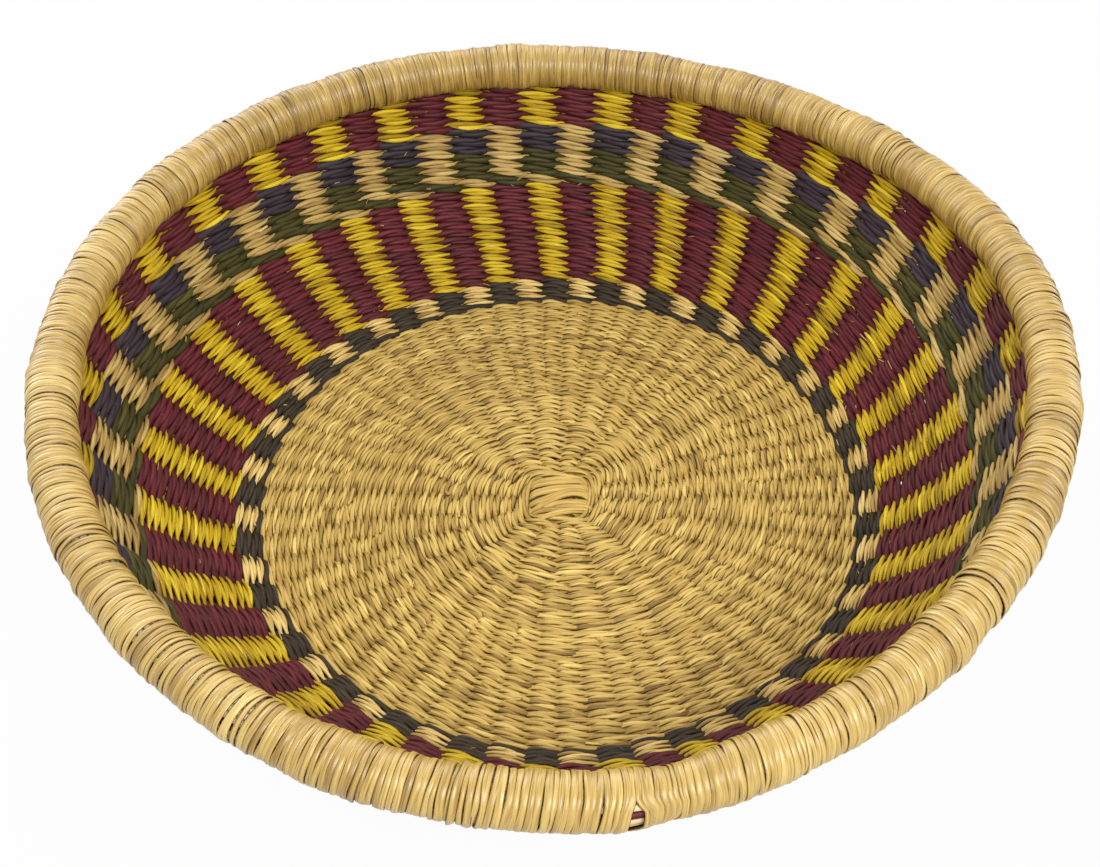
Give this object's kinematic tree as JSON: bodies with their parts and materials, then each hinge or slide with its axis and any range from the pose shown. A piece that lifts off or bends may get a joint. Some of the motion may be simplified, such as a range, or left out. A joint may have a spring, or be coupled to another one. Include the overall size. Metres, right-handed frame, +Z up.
{
  "type": "woven basket",
  "caption": "Round shallow basket bowl twined from straw on radiating stakes, with dyed stripe and check bands on a flaring wall and a fat rim roll wrapped in natural straw.",
  "frame": {"origin": "centre of the outline's box on the surface that the basket stands on", "axes": "+Z up out of the bowl, +X to the right in the picture, +Y away from the viewer"},
  "size_m": [0.3752, 0.3818, 0.1005],
  "materials": {
    "natural_straw": "dry straw, satin, with fine grain along each stem",
    "black_straw": "dyed black straw, satin",
    "yellow_straw": "dyed yellow straw, satin",
    "maroon_straw": "dyed maroon straw, satin",
    "green_straw": "dyed dark olive green straw, satin",
    "navy_straw": "dyed dark navy straw, satin",
    "stake_straw": "dry straw bundle, satin",
    "core_straw": "bundled dry straw, matte",
    "rim_straw": "smooth natural straw, satin with long glints"
  },
  "bodies": {
    "root": {"added_stake_01": "stake_straw", "added_stake_02": "stake_straw", "added_stake_03": "stake_straw", "added_stake_04": "stake_straw", "added_stake_05": "stake_straw", "added_stake_06": "stake_straw", "added_stake_07": "stake_straw", "added_stake_08": "stake_straw", "added_stake_09": "stake_straw", "added_stake_10": "stake_straw", "added_stake_11": "stake_straw", "added_stake_12": "stake_straw", "added_stake_13": "stake_straw", "added_stake_14": "stake_straw", "added_stake_15": "stake_straw", "black_weft_inside": "black_straw", "black_weft_outside": "natural_straw", "floor_weft_inside": "natural_straw", "floor_weft_outside": "natural_straw", "green_weft_inside": "green_straw", "green_weft_outside": "natural_straw", "navy_weft_inside": "navy_straw", "navy_weft_outside": "natural_straw", "rim_core": "core_straw", "rim_wrap_1": "rim_straw", "rim_wrap_2": "rim_straw", "rim_wrap_3": "rim_straw", "rim_wrap_4": "rim_straw", "start_stake_over_1": "stake_straw", "start_stake_over_2": "stake_straw", "start_stake_over_3": "stake_straw", "start_stake_over_4": "stake_straw", "start_stake_under_1": "stake_straw", "start_stake_under_2": "stake_straw", "start_stake_under_3": "stake_straw", "start_stake_under_4": "stake_straw", "stripe_weft_inside": "maroon_straw", "stripe_weft_outside": "yellow_straw", "top_weft_inside": "yellow_straw", "top_weft_outside": "maroon_straw"}
  },
  "joints": []
}
